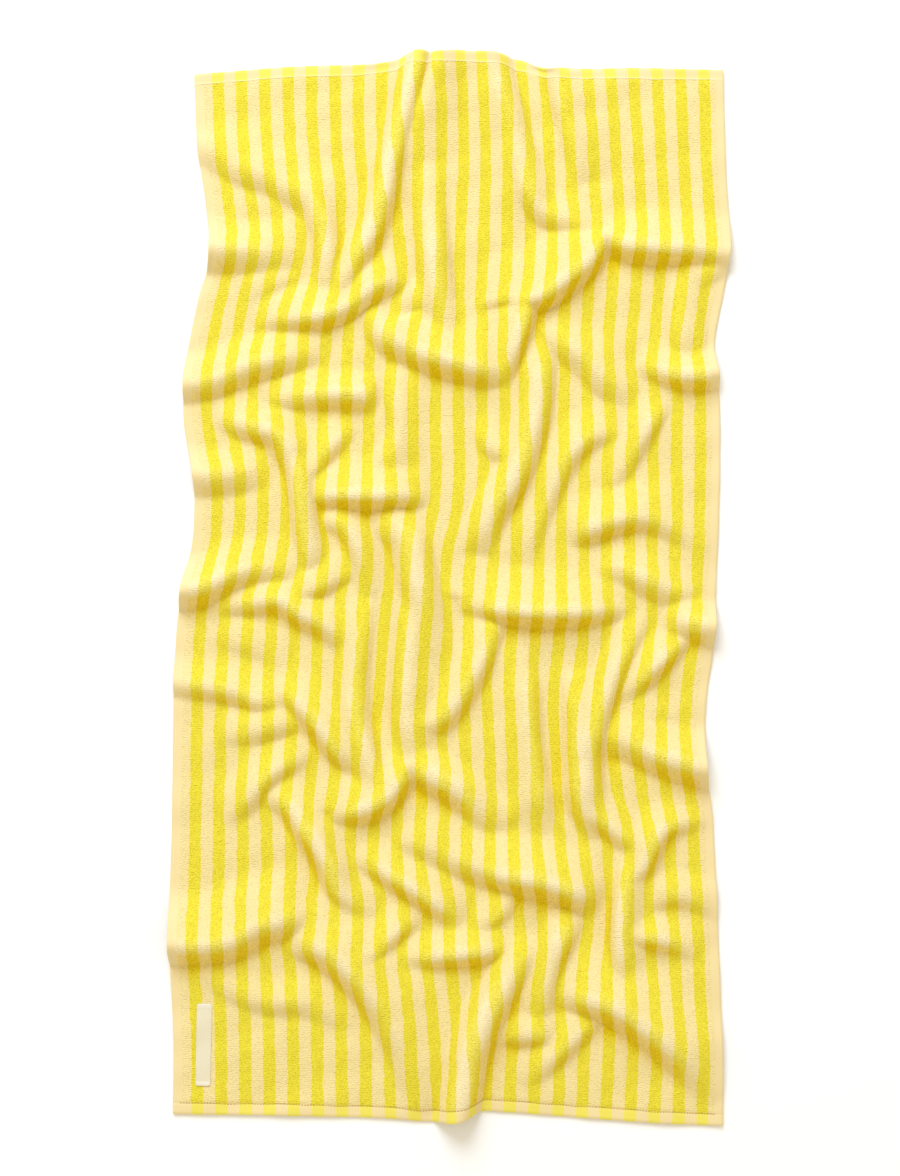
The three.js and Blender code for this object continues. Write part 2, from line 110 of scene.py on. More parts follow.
# One row for each fold: how far its flanks reach on the crest's left-hand and right-hand side, and
# the x, y, rise points that the crest runs through.
folds = [
    # top hem and the slopes below it
    (60, 24, [(-318, 548, 6), (-262, 512, 12), (-215, 495, 13), (-175, 470, 12), (-150, 440, 0)]),
    (18, 18, [(-188, 488, 0), (-170, 463, 12), (-159, 435, 17), (-155, 405, 17), (-155, 378, 12),
        (-161, 348, 0)]),
    (22, 16, [(-148, 345, 0), (-134, 368, 12), (-118, 396, 19), (-101, 425, 21), (-88, 460, 22),
        (-78, 500, 22), (-68, 540, 22), (-55, 590, 23), (-42, 640, 24), (-34, 690, 24)]),
    (16, 70, [(-62, 470, 0), (-56, 520, 9), (-44, 560, 16), (-31, 600, 20), (-18, 640, 23),
        (-11, 690, 23)]),
    (60, 24, [(116, 455, 0), (101, 475, 10), (91, 500, 14), (81, 530, 16), (70, 565, 18), (59, 600, 20),
        (50, 640, 20), (40, 690, 20)]),
    (16, 80, [(162, 490, 0), (156, 520, 9), (149, 550, 12), (140, 580, 13), (133, 610, 13),
        (128, 640, 13), (124, 690, 13)]),
    (40, 19, [(60, 585, 0), (72, 545, 8), (84, 510, 13), (96, 478, 16), (111, 457, 14), (135, 446, 12),
        (165, 440, 8), (195, 436, 0)]),
    (55, 20, [(184, 432, 8), (212, 413, 24), (250, 408, 26), (300, 407, 22), (355, 400, 16)]),
    (70, 17, [(82, 343, 14), (112, 349, 24), (140, 369, 27), (163, 388, 26), (178, 410, 20),
        (187, 436, 4)]),
    (45, 14, [(54, 240, 0), (66, 262, 14), (79, 292, 22), (88, 322, 22), (93, 345, 12), (98, 365, 0)]),
    (24, 22, [(-2, 285, 0), (-10, 320, 11), (-19, 360, 18), (-23, 400, 19), (-27, 445, 14),
        (-30, 495, 8), (-32, 550, 0)]),
    # upper left
    (45, 30, [(-325, 412, 22), (-262, 407, 20), (-222, 405, 15), (-182, 414, 0)]),
    (50, 18, [(-250, 322, 0), (-200, 322, 16), (-160, 325, 22), (-125, 340, 16), (-92, 363, 18),
        (-50, 374, 0)]),
    (30, 20, [(-262, 348, 0), (-222, 368, 7), (-185, 386, 0)]),
    (30, 20, [(-68, 346, 0), (-35, 345, 9), (-10, 325, 8), (8, 298, 0)]),
    (70, 23, [(-86, 336, 0), (-89, 316, 12), (-80, 301, 18), (-56, 287, 20), (-25, 274, 26),
        (8, 265, 27), (38, 259, 22), (68, 262, 0)]),
    (20, 45, [(-108, 128, 0), (-80, 146, 9), (-64, 180, 11), (-66, 225, 11), (-66, 270, 0)]),
    (45, 22, [(-350, 236, 18), (-290, 246, 19), (-250, 262, 20), (-210, 272, 16), (-150, 294, 0)]),
    (35, 20, [(-240, 224, 0), (-190, 227, 12), (-140, 228, 19), (-108, 226, 17), (-92, 224, 0)]),
    (40, 20, [(-295, 208, 0), (-250, 190, 16), (-215, 178, 20), (-197, 161, 18), (-186, 135, 0)]),
    (18, 19, [(-168, 0, 0), (-174, 32, 14), (-180, 68, 20), (-184, 105, 21), (-190, 135, 20),
        (-203, 158, 14), (-225, 175, 0)]),
    (35, 14, [(-182, 108, 0), (-171, 134, 13), (-156, 155, 14), (-139, 175, 9), (-120, 195, 0)]),
    (40, 27, [(-345, 130, 19), (-290, 129, 17), (-258, 132, 13), (-222, 142, 0)]),
    (55, 18, [(-178, 98, 0), (-160, 102, 17), (-125, 102, 26), (-90, 101, 26), (-58, 103, 17),
        (-28, 107, 0)]),
    (32, 17, [(-168, 72, 0), (-145, 72, 12), (-125, 60, 15), (-108, 20, 13), (-98, -25, 0)]),
    (26, 26, [(-94, 88, 0), (-73, 67, 13), (-55, 48, 20), (-47, 20, 24), (-41, -10, 24), (-34, -42, 16),
        (-25, -78, 9), (-12, -125, 0)]),
    # upper right
    (30, 18, [(284, 356, 0), (308, 378, 6), (345, 398, 6)]),
    (20, 30, [(290, 262, 0), (283, 300, 10), (281, 340, 10), (286, 385, 0)]),
    (40, 24, [(105, 314, 0), (140, 292, 13), (165, 272, 14), (190, 246, 13), (228, 230, 0)]),
    (40, 19, [(226, 271, 0), (250, 262, 13), (275, 252, 21), (300, 250, 22), (350, 258, 18)]),
    (28, 20, [(34, 30, 0), (38, 56, 14), (50, 84, 20), (69, 110, 22), (85, 142, 22), (96, 178, 21),
        (104, 215, 19), (107, 250, 17), (106, 280, 8), (104, 305, 0)]),
    (40, 17, [(84, 15, 0), (98, 62, 9), (116, 102, 12), (134, 140, 15), (154, 165, 15), (178, 180, 10),
        (212, 182, 0)]),
    (35, 15, [(186, 108, 0), (210, 140, 9), (226, 166, 12), (242, 193, 13), (258, 220, 0)]),
    (36, 15, [(34, 200, 0), (44, 170, 8), (60, 156, 10), (88, 150, 0)]),
    (50, 19, [(138, 56, 0), (166, 61, 18), (200, 72, 19), (230, 76, 17), (262, 68, 11), (318, 36, 0)]),
    # middle left
    (45, 24, [(-360, -18, 26), (-305, -10, 27), (-275, 4, 24), (-245, 13, 18), (-178, 12, 0)]),
    (35, 18, [(-302, -32, 0), (-250, -28, 14), (-210, -26, 18), (-186, -41, 20), (-160, -54, 17),
        (-112, -86, 0)]),
    (30, 14, [(-205, -19, 0), (-170, -12, 13), (-145, 2, 10), (-112, 16, 0)]),
    (30, 18, [(-302, -60, 0), (-250, -78, 6), (-198, -96, 0)]),
    (40, 18, [(-355, -124, 11), (-300, -130, 14), (-262, -137, 14), (-235, -148, 16), (-192, -146, 0)]),
    (45, 18, [(-220, -126, 0), (-192, -147, 18), (-172, -166, 22), (-155, -187, 22), (-138, -208, 18),
        (-90, -244, 0)]),
    (30, 19, [(-296, -187, 0), (-245, -184, 11), (-210, -176, 12), (-172, -166, 0)]),
    (40, 16, [(-282, -294, 0), (-248, -267, 12), (-229, -244, 15), (-208, -227, 12), (-168, -206, 0)]),
    (34, 19, [(-230, -254, 0), (-196, -275, 17), (-178, -300, 22), (-161, -326, 25), (-147, -350, 24),
        (-135, -378, 18), (-110, -398, 8), (-82, -402, 0)]),
    (26, 17, [(-80, -275, 0), (-95, -240, 17), (-107, -205, 21), (-116, -172, 20), (-118, -130, 14),
        (-115, -90, 14), (-112, -50, 9), (-110, -20, 0)]),
    (24, 55, [(-20, -225, 0), (-42, -208, 12), (-52, -180, 19), (-54, -150, 20), (-52, -100, 20),
        (-48, -60, 17), (-46, -30, 10), (-45, 0, 0)]),
    # middle right
    (60, 19, [(24, -28, 8), (58, -37, 24), (95, -41, 28), (130, -42, 28), (165, -39, 24),
        (200, -34, 10), (226, -38, 0)]),
    (35, 23, [(164, 12, 0), (205, 14, 12), (235, 2, 16), (262, -10, 14), (304, -18, 0)]),
    (35, 26, [(256, -44, 0), (285, -50, 20), (345, -66, 25)]),
    (40, 18, [(-60, -184, 0), (-18, -172, 16), (4, -149, 18), (21, -123, 18), (35, -95, 17),
        (45, -65, 12), (50, -35, 0)]),
    (50, 18, [(114, -310, 0), (104, -270, 13), (97, -230, 16), (92, -190, 16), (90, -150, 15),
        (86, -115, 10), (76, -70, 0)]),
    (36, 15, [(200, -150, 0), (230, -121, 16), (252, -100, 20), (276, -76, 8)]),
    (24, 16, [(172, -290, 0), (166, -262, 10), (166, -230, 17), (170, -200, 21), (178, -166, 21),
        (189, -134, 20), (203, -102, 18), (218, -72, 11), (236, -42, 0)]),
    (20, 30, [(182, -308, 0), (168, -292, 14), (158, -268, 22), (154, -230, 23), (154, -190, 22),
        (153, -150, 17), (150, -110, 0)]),
    (30, 16, [(190, -153, 0), (235, -162, 5), (292, -160, 0)]),
    (50, 26, [(172, -192, 0), (212, -196, 18), (240, -208, 24), (265, -218, 28), (335, -238, 31)]),
    (60, 18, [(-136, -282, 10), (-106, -279, 24), (-83, -267, 26), (-67, -248, 24), (-54, -216, 8)]),
    (30, 22, [(-56, -218, 8), (-28, -238, 25), (0, -253, 24), (28, -275, 18), (62, -312, 0)]),
    (30, 14, [(48, -308, 0), (68, -290, 6), (84, -256, 0)]),
    (60, 24, [(-76, -304, 0), (-35, -321, 12), (0, -335, 14), (38, -350, 20), (72, -360, 28),
        (110, -367, 30), (145, -378, 27), (178, -394, 0)]),
    (40, 18, [(-118, -330, 0), (-80, -354, 17), (-50, -373, 20), (-20, -392, 19), (18, -416, 0)]),
    (35, 16, [(18, -420, 0), (48, -410, 11), (62, -395, 11), (72, -374, 0)]),
    (40, 16, [(144, -266, 0), (172, -288, 13), (192, -301, 16), (212, -317, 13), (232, -344, 0)]),
    (40, 15, [(202, -374, 0), (227, -351, 18), (240, -326, 20), (255, -304, 16), (310, -288, 0)]),
    # lower part down to the bottom hem
    (70, 27, [(-375, -440, 30), (-300, -441, 30), (-268, -436, 29), (-238, -420, 27), (-205, -412, 23),
        (-165, -400, 0)]),
    (85, 25, [(-205, -430, 0), (-165, -443, 20), (-140, -457, 25), (-118, -477, 25), (-98, -499, 24),
        (-80, -525, 21), (-62, -558, 17), (-45, -600, 11), (-30, -650, 0)]),
    (36, 20, [(-322, -462, 0), (-292, -478, 2), (-262, -496, 8), (-225, -508, 9), (-180, -511, 9),
        (-110, -538, 0)]),
    (40, 15, [(-132, -462, 4), (-98, -453, 16), (-80, -438, 17), (-64, -423, 13), (-38, -404, 0)]),
    (35, 17, [(-82, -458, 0), (-35, -457, 12), (5, -454, 20), (40, -450, 18), (80, -443, 0)]),
    (30, 18, [(88, -550, 0), (105, -515, 14), (112, -490, 18), (120, -462, 20), (134, -430, 17),
        (146, -402, 0)]),
    (40, 15, [(214, -328, 0), (211, -365, 16), (206, -395, 23), (203, -425, 24), (203, -455, 21),
        (208, -485, 10), (214, -505, 0)]),
    (28, 15, [(226, -398, 0), (262, -384, 11), (288, -387, 10), (335, -410, 0)]),
    (32, 15, [(190, -432, 0), (232, -433, 16), (262, -439, 13), (302, -456, 0)]),
    (75, 25, [(116, -490, 0), (155, -503, 21), (190, -515, 29), (218, -530, 31), (243, -548, 30),
        (266, -566, 26), (288, -587, 18), (326, -626, 0)]),
    (30, 15, [(50, -552, 0), (78, -551, 12), (102, -551, 15), (132, -555, 0)]),
    (36, 16, [(82, -609, 0), (112, -583, 12), (135, -563, 14), (155, -545, 12), (176, -528, 0)]),
    (28, 24, [(6, -690, 31), (9, -640, 31), (16, -600, 31), (25, -565, 31), (38, -535, 30),
        (54, -505, 27), (68, -482, 23), (85, -458, 16), (102, -434, 0)]),
]


def evenSteps(line, measured, count):
    # Cuts a line into pieces whose measured lengths are the same.
    lengths = np.linalg.norm(np.diff(measured, axis=0), axis=1)
    along = np.concatenate([[0.0], np.cumsum(lengths)])
    marks = np.linspace(0.0, along[-1], count + 1)
    return np.column_stack([np.interp(marks, along, line[:, axis]) for axis in range(line.shape[1])])


def smoothLine(points, step):
    # A cubic runs through each pair of points. Its slopes at both ends come from the points on
    # either side, weighted by the square roots of their distances, so that it doesn't overshoot.
    points = np.array(points, float)
    points = np.vstack([2 * points[0] - points[1], points, 2 * points[-1] - points[-2]])
    gaps = np.sqrt(np.linalg.norm(np.diff(points, axis=0), axis=1))[:, None]
    before, start, end, after = points[:-3], points[1:-2], points[2:-1], points[3:]
    behind, between, ahead = gaps[:-2], gaps[1:-1], gaps[2:]
    middle = (end - start) / between
    leave = between * ((start - before) / behind - (end - before) / (behind + between) + middle)
    arrive = between * (middle - (after - start) / (between + ahead) + (after - end) / ahead)
    t = np.linspace(0.0, 1.0, 33)[:-1, None, None]
    fromStart = (2 * t**3 - 3 * t**2 + 1) * start + (t**3 - 2 * t**2 + t) * leave
    toEnd = (3 * t**2 - 2 * t**3) * end + (t**3 - t**2) * arrive
    line = (fromStart + toEnd).transpose(1, 0, 2).reshape(-1, points.shape[1])
    line = np.vstack([line, points[-2]])
    length = np.linalg.norm(np.diff(line, axis=0), axis=1).sum()
    return evenSteps(line, line, math.ceil(length / step))


crests = [(left, right, smoothLine(crest, towel["crestStep"])) for left, right, crest in folds]

# Slow waves of random direction and length give the cloth between the folds its unevenness.
waves = towel["rippleWaves"]
ripples = np.random.default_rng(towel["seed"])
rippleTurn, ripplePhase, _ = ripples.uniform(0, math.tau, (3, waves))
rippleLength = ripples.uniform(*towel["rippleLengths"], waves)


def addFold(height, x, y, fold):
    # A long flank climbs ever faster to the crest, and a short one drops ever faster to its foot:
    # a power of the share of the flank, eased by a cosine.
    left, right, crest = fold
    low = crest.min(axis=0) - max(left, right)
    high = crest.max(axis=0) + max(left, right)
    near = (x > low[0]) & (x < high[0]) & (y > low[1]) & (y < high[1])
    spotX = x[near][:, None]
    spotY = y[near][:, None]
    start = crest[:-1]
    step = crest[1:] - start
    square = step[:, 0]**2 + step[:, 1]**2
    share = ((spotX - start[:, 0]) * step[:, 0] + (spotY - start[:, 1]) * step[:, 1]) / square
    share = np.clip(share, 0, 1)
    offX = spotX - start[:, 0] - share * step[:, 0]
    offY = spotY - start[:, 1] - share * step[:, 1]
    distance = np.hypot(offX, offY)
    best = np.argmin(distance, axis=1)
    row = np.arange(len(best))
    away = distance[row, best]
    onRight = step[best, 0] * offY[row, best] - step[best, 1] * offX[row, best] < 0
    rise = np.maximum(0, start[best, 2] + share[row, best] * step[best, 2])
    reach = np.where(onRight, right, left)
    t = np.minimum(1, away / reach)
    cosine = (1 + np.cos(math.pi * t)) / 2
    climb = towel["climb"] * (1 - t)**towel["climbPower"] + (1 - towel["climb"]) * cosine
    drop = towel["drop"] * (1 - t**2) + (1 - towel["drop"]) * cosine
    height[near] += (rise * np.where(reach < towel["shortFlank"], drop, climb))**towel["foldBlend"]


def layHeight(x, y):
    # The underside of the cloth: all folds joined smoothly, with the slow ripples over them.
    height = np.zeros(x.shape)
    for fold in crests:
        addFold(height, x, y, fold)
    height = height**(1 / towel["foldBlend"])
    slant = np.cos(rippleTurn) * x[..., None] + np.sin(rippleTurn) * y[..., None]
    wave = np.sin(math.tau * slant / rippleLength + ripplePhase).mean(axis=-1)
    return height + towel["ripple"] * np.maximum(0, 1 + towel["rippleDepth"] * wave)


def softened(values, reach):
    # Each value becomes the mean of its neighbours both ways, weighted by a bell curve.
    widest = math.ceil(2.5 * reach)  # past this the bell counts for next to nothing
    span = np.arange(-widest, widest + 1)
    bell = np.exp(-0.5 * (span / reach)**2)
    bell = bell / bell.sum()
    for axis in (0, 1):
        values = sum(share * np.roll(values, int(step), axis=axis) for step, share in zip(span, bell))
    return values


# The heights are worked out once on an even grid, to look them up from while the cloth settles.
gridStep = 2.0
gridHalf = (400, 720)  # a little more than the towel takes up
gridX, gridY = np.meshgrid(*(np.arange(-half, half + 1, gridStep) for half in gridHalf))
gridHeight = softened(layHeight(gridX, gridY), towel["roundness"] / gridStep)
print("folds laid out", gridHeight.shape, "highest", round(float(gridHeight.max()), 1))


def shelterGrid():
    # The share of the sky that the cloth around hides: for each direction the steepest rise to the
    # cloth there, as the squared sine of its angle, and then their mean. Directions towards the
    # top hem count the most, and those towards the bottom hem the least.
    hidden = np.zeros(gridHeight.shape)
    for turn in np.arange(towel["shelterTurns"]) * math.tau / towel["shelterTurns"]:
        steepest = np.zeros(gridHeight.shape)
        for reach in towel["shelterReaches"]:
            sideways = round(reach * math.cos(turn) / gridStep)
            up = round(reach * math.sin(turn) / gridStep)
            away = np.roll(gridHeight, (-up, -sideways), axis=(0, 1))
            steepest = np.maximum(steepest, (away - gridHeight) / reach)
        hidden += (1 + math.sin(turn)) * steepest**2 / (1 + steepest**2)
    return hidden / towel["shelterTurns"]


# The shelter sets where shade is painted into the terry's colour, and the relief where highlight is painted
# on the crests.
gridShelter = shelterGrid()
gridRelief = gridHeight - softened(gridHeight, towel["reliefReach"] / gridStep)


def blendAt(values, upDown, sideways):
    # The four values around each place, each weighted by how near it is. A place is given as the
    # grid lines below it and its shares of the way to the next ones.
    row, up = upDown
    column, side = sideways
    lower = values[row, column] * (1 - side) + values[row, column + 1] * side
    upper = values[row + 1, column] * (1 - side) + values[row + 1, column + 1] * side
    return lower * (1 - up) + upper * up


def lookUp(x, y, values=gridHeight):
    # A value of the even grid at any place.
    column = np.clip((x - gridX[0, 0]) / gridStep, 0, gridX.shape[1] - 1.001)
    row = np.clip((y - gridY[0, 0]) / gridStep, 0, gridX.shape[0] - 1.001)
    return blendAt(values, (row.astype(int), row % 1), (column.astype(int), column % 1))


def edgeSteps(points, count):
    # An edge cut into equal lengths of cloth, measured over the folds that it crosses.
    line = smoothLine(points, 2.0)
    return evenSteps(line, np.column_stack([line, lookUp(line[:, 0], line[:, 1])]), count)


def firstSpread(columns, rows):
    # Each place is the blend of the two side edges plus that of the two ends, less that of the
    # four corners, which both of them hold.
    left = edgeSteps(leftEdge, rows)[:, None]
    right = edgeSteps(rightEdge, rows)[:, None]
    bottom = edgeSteps(bottomEdge, columns)[None]
    top = edgeSteps(topEdge, columns)[None]
    s = np.linspace(0, 1, columns + 1)[None, :, None]
    t = np.linspace(0, 1, rows + 1)[:, None, None]
    sides = left * (1 - s) + right * s
    ends = bottom * (1 - t) + top * t
    corners = (1 - t) * ((1 - s) * left[0] + s * right[0]) + t * ((1 - s) * left[-1] + s * right[-1])
    return sides + ends - corners


def threadPush(spot, cellWidth, cellLength):
    # Each thread between two neighbouring points pulls or pushes them along itself towards its
    # length in the flat cloth. Slanting pairs do so weakly, because cloth shears easily.
    rows, columns = spot.shape[0] - 1, spot.shape[1] - 1
    slant = math.hypot(cellWidth, cellLength)
    slack = towel["shear"]
    threads = [(0, 1, cellWidth, 1.0), (1, 0, cellLength, 1.0), (1, 1, slant, slack), (1, -1, slant, slack)]
    push = np.zeros(spot.shape)
    weight = np.zeros(spot.shape[:2] + (1,))
    for up, side, length, firmness in threads:
        first = (slice(0, rows + 1 - up), slice(max(0, -side), columns + 1 - max(0, side)))
        second = (slice(up, None), slice(max(0, side), columns + 1 + min(0, side)))
        reach = spot[second] - spot[first]
        now = np.sqrt((reach**2).sum(axis=2, keepdims=True))
        move = (0.5 * firmness) * (1 - length / now) * reach
        push[first] += move
        push[second] -= move
        weight[first] += firmness
        weight[second] += firmness
    return push / weight


def bending(spot):
    # Four times how far each inner point is from the mean of its four neighbours.
    return spot[1:-1, :-2] + spot[1:-1, 2:] + spot[:-2, 1:-1] + spot[2:, 1:-1] - 4 * spot[1:-1, 1:-1]


def settle(spot, turns, free):
    # Held: the points slide over the folds as they are drawn. Free: they may leave them, with a
    # weak pull back, a stiffness against bending, and the floor below.
    cellWidth = towel["width"] / (spot.shape[1] - 1)
    cellLength = towel["length"] / (spot.shape[0] - 1)
    home = spot.copy()
    for turn in range(turns):
        push = towel["pull"] * threadPush(spot, cellWidth, cellLength)
        if free:
            bend = np.zeros(spot.shape)
            bend[1:-1, 1:-1] = bending(spot)
            push[1:-1, 1:-1] -= towel["stiffness"] * bending(bend)
            push[..., :2] += towel["holdPlace"] * (home - spot)[..., :2]
            drawn = lookUp(spot[..., 0], spot[..., 1])
            push[..., 2] += towel["holdHeight"] * (drawn - spot[..., 2])
        spot[1:-1, 1:-1, :2] += push[1:-1, 1:-1, :2]
        if free:
            spot[..., 2] = np.maximum(0, spot[..., 2] + push[..., 2])
        else:
            spot[..., 2] = lookUp(spot[..., 0], spot[..., 1])
    return spot


def cubicWeights(marks, count):
    # How much each of count + 1 even points counts at every mark, by the cubic through four points.
    at = np.clip(np.asarray(marks) * count, 0, count)
    base = np.minimum(at.astype(int), count - 1)
    t = at - base
    shares = [
        (-t**3 + 2 * t**2 - t) / 2,
        (3 * t**3 - 5 * t**2 + 2) / 2,
        (-3 * t**3 + 4 * t**2 + t) / 2,
        (t**3 - t**2) / 2,
    ]
    weights = np.zeros((len(at), count + 1))
    row = np.arange(len(at))
    for offset, share in zip((-1, 0, 1, 2), shares):
        np.add.at(weights, (row, np.clip(base + offset, 0, count)), share)
    return weights


def refine(values, rowMarks, columnMarks):
    upDown = cubicWeights(rowMarks, values.shape[0] - 1)
    sideways = cubicWeights(columnMarks, values.shape[1] - 1)
    layers = [upDown @ values[..., axis] @ sideways.T for axis in range(values.shape[2])]
    return np.stack(layers, axis=-1)


def report(stage, spot):
    sideways = np.linalg.norm(np.diff(spot, axis=1), axis=2) * (spot.shape[1] - 1) / towel["width"]
    lengthways = np.linalg.norm(np.diff(spot, axis=0), axis=2) * (spot.shape[0] - 1) / towel["length"]
    shares = [2, 20, 50, 80, 98]
    print(stage, "across", np.percentile(sideways, shares).round(3),
          "along", np.percentile(lengthways, shares).round(3), "highest", spot[..., 2].max().round(1))


# The cloth settles on a coarse grid first and then on finer ones, each twice as fine.
columns, rows = 25, 50
place = firstSpread(columns, rows)
cloth = np.dstack([place, lookUp(place[..., 0], place[..., 1])])
for turns, freeTurns in towel["settling"]:
    cloth = settle(cloth, turns, False)
    if freeTurns:
        report("held", cloth)
        cloth = settle(cloth, freeTurns, True)
        report("free", cloth)
    if (turns, freeTurns) != towel["settling"][-1]:
        columns, rows = 2 * columns, 2 * rows
        finer = refine(cloth, np.linspace(0, 1, rows + 1), np.linspace(0, 1, columns + 1))
        edges = firstSpread(columns, rows)
        finer[[0, -1], :, :2] = edges[[0, -1]]
        finer[:, [0, -1], :2] = edges[:, [0, -1]]
        cloth = finer
    print("settled", columns, "by", rows)

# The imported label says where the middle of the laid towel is.
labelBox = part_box("label")
labelTape = {
    "width": 18.0,
    "length": 98.0,
    "thickness": 0.6,
    "centre": (-300.0, -564.0),
    "turn": -0.8,  # degrees
    "corner": 2.5,
    "gap": 0.3,  # above the terry
    "turnIn": 5.0,  # the folded ends
    "turnInRise": 0.35,
    "turnInEase": 0.8,  # how long the step at each fold is
    "wave": 0.12,  # slight unevenness, with its lengths along and across
    "waveLengths": (9.0, 6.0),
    "waveFade": 12.0,  # from each end
    "points": (19, 85),  # across and along
    "rim": 0.08,  # how far its rounded rim stands out
    "sideStitches": 30,
    "endStitches": 6,
    "stitchLength": 2.0,
    "stitchRadius": 0.22,
}
shift = np.array([
    (labelBox[0][0] + labelBox[1][0]) / 2 / millimetre - labelTape["centre"][0],
    (labelBox[0][1] + labelBox[1][1]) / 2 / millimetre - labelTape["centre"][1],
    0.0,
])


def makePiece(name, points, faces, map01=None):
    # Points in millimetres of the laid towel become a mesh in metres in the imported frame.
    mesh = bpy.data.meshes.new(name)
    mesh.from_pydata((points + shift) * millimetre, [], faces)
    mesh.polygons.foreach_set("use_smooth", np.ones(len(mesh.polygons), bool))
    if map01 is not None:
        corners = np.zeros(len(mesh.loops), np.int32)
        mesh.loops.foreach_get("vertex_index", corners)
        layer = mesh.uv_layers.new(name="cut")
        layer.uv.foreach_set("vector", map01[corners].astype(np.float32).ravel())
    mesh.update()
    piece = bpy.data.objects.new(name, mesh)
    bpy.context.scene.collection.objects.link(piece)
    return piece


def unitNormals(points):
    # The cross product of the two directions of the grid, made one long.
    up = np.gradient(points, axis=0)
    side = np.gradient(points, axis=1)
    normal = np.cross(side, up)
    return normal / np.linalg.norm(normal, axis=2, keepdims=True)


def bandLines(edgeMarks, length, cells):
    # Grid lines: a few close ones along both borders, and even ones in between.
    inner = np.linspace(edgeMarks[-1], length - edgeMarks[-1], cells + 1)
    return np.concatenate([edgeMarks[:-1], inner, length - np.array(edgeMarks[:-1])[::-1]])


def ease(value, start, end):
    # A smooth step from 0 at the start to 1 at the end.
    t = np.clip((value - start) / (end - start), 0, 1)
    return t * t * (3 - 2 * t)


def clothThickness(fromLeft, fromBottom):
    # Pile in the middle, thinner flat-woven bands at the sides and ends, a groove along the bottom
    # hem's seam and a rib along the top one's.
    fromSide = np.minimum(fromLeft, towel["width"] - fromLeft)
    fromEnd = np.minimum(fromBottom, towel["length"] - fromBottom)
    sideStep = ease(fromSide, *towel["selvedgeStep"])
    thick = towel["selvedge"] + (towel["pile"] - towel["selvedge"]) * sideStep
    thick = thick + (towel["hem"] - thick) * (1 - ease(fromEnd, *towel["hemStep"]))
    seam = np.exp(-((fromEnd - towel["hemWidth"]) / towel["seamWidth"])**2)
    atBottom = fromBottom < towel["length"] / 2
    return thick + seam * np.where(atBottom, towel["groove"] - thick, towel["rib"])


sideMarks = [0.0, 3.0, 6.5, 9.5, 11.0]
endMarks = [0.0, 3.5, 7.5, 10.6, 12.1, 13.0, 13.9, 15.6]
across = bandLines(sideMarks, towel["width"], towel["cellsAcross"])
along = bandLines(endMarks, towel["length"], towel["cellsAlong"])
underside = refine(cloth, along / towel["length"], across / towel["width"])
underside[..., 2] = np.maximum(0, underside[..., 2])
cutX, cutY = np.meshgrid(across, along)
upward = unitNormals(underside)
thickness = clothThickness(cutX, cutY)
upperside = underside + upward * thickness[..., None]


def closedSheet(upper, lower, cutX, cutY, step, bulge):
    # The fine upper grid, a lower grid with fewer points inside, and a rounded rim of two rings
    # that joins them. The lower faces along the border take in all the rim's points.
    rows, columns = upper.shape[:2]
    index = np.arange(rows * columns).reshape(rows, columns)
    onBorder = np.ones((rows, columns), bool)
    onBorder[1:-1, 1:-1] = False
    kept = onBorder.copy()
    kept[::step, ::step] = True
    lowerIndex = np.full((rows, columns), -1)
    lowerIndex[kept] = rows * columns + np.arange(kept.sum())
    upperFaces = np.stack([index[:-1, :-1], index[:-1, 1:], index[1:, 1:], index[1:, :-1]], axis=-1)
    a, b = np.meshgrid(np.arange(0, rows - 1, step), np.arange(0, columns - 1, step), indexing="ij")
    a, b = a.ravel()[:, None], b.ravel()[:, None]
    k = np.arange(step)[None]
    around = np.concatenate([
        lowerIndex[a + k, b], lowerIndex[a + step, b + k],
        lowerIndex[a + step - k, b + step], lowerIndex[a, b + step - k],
    ], axis=1)
    lowerFaces = [face[face >= 0].tolist() for face in around]
    ring = np.concatenate([index[0, :-1], index[:-1, -1], index[-1, :0:-1], index[:0:-1, 0]])
    top = upper.reshape(-1, 3)[ring]
    bottom = lower.reshape(-1, 3)[ring]
    ahead = np.roll(top, -1, axis=0) - np.roll(top, 1, axis=0)
    outward = np.column_stack([ahead[:, 1], -ahead[:, 0], 0 * ahead[:, 0]])
    outward = bulge * outward / np.linalg.norm(outward, axis=1, keepdims=True)
    rings = [top * (1 - share) + bottom * share + outward for share in (0.28, 0.72)]
    first = rows * columns + int(kept.sum())
    count = len(ring)
    ringIndex = [ring, first + np.arange(count), first + count + np.arange(count), lowerIndex.ravel()[ring]]
    rim = [
        np.stack([above, below, np.roll(below, -1), np.roll(above, -1)], axis=-1)
        for above, below in zip(ringIndex[:-1], ringIndex[1:])
    ]
    points = np.vstack([upper.reshape(-1, 3), lower[kept], *rings])
    cut = np.stack([cutX, cutY], axis=-1).reshape(-1, 2)
    cut = np.vstack([cut, cut[kept.ravel()], cut[ring], cut[ring]])
    faces = upperFaces.reshape(-1, 4).tolist() + lowerFaces + np.vstack(rim).tolist()
    return points, faces, cut


points, faces, cut = closedSheet(upperside, underside, cutX, cutY, towel["underStep"], towel["edgeBulge"])
towelCloth = makePiece("towelCloth", points, faces, cut / towel["length"])
# Kept on the cloth for the terry's painted shade and painted highlight.
for name, values in (("shelter", gridShelter), ("relief", gridRelief)):
    layer = towelCloth.data.attributes.new(name, "FLOAT", "POINT")
    layer.data.foreach_set("value", lookUp(points[:, 0], points[:, 1], values).astype(np.float32))
print("towel cloth", len(points), "points", len(faces), "faces")


def lineBelow(lines, marks):
    # The grid line below each mark and the share of the way to the next one.
    below = np.clip(np.searchsorted(lines, marks) - 1, 0, len(lines) - 2)
    return below, ((marks - lines[below]) / (lines[below + 1] - lines[below]))[:, None]


def onCloth(x, y, lift):
    # A place on the upper side, or a little above it, from its place in the flat cloth.
    upDown = lineBelow(along, y)
    sideways = lineBelow(across, x)
    return blendAt(upperside, upDown, sideways) + lift * blendAt(upward, upDown, sideways)


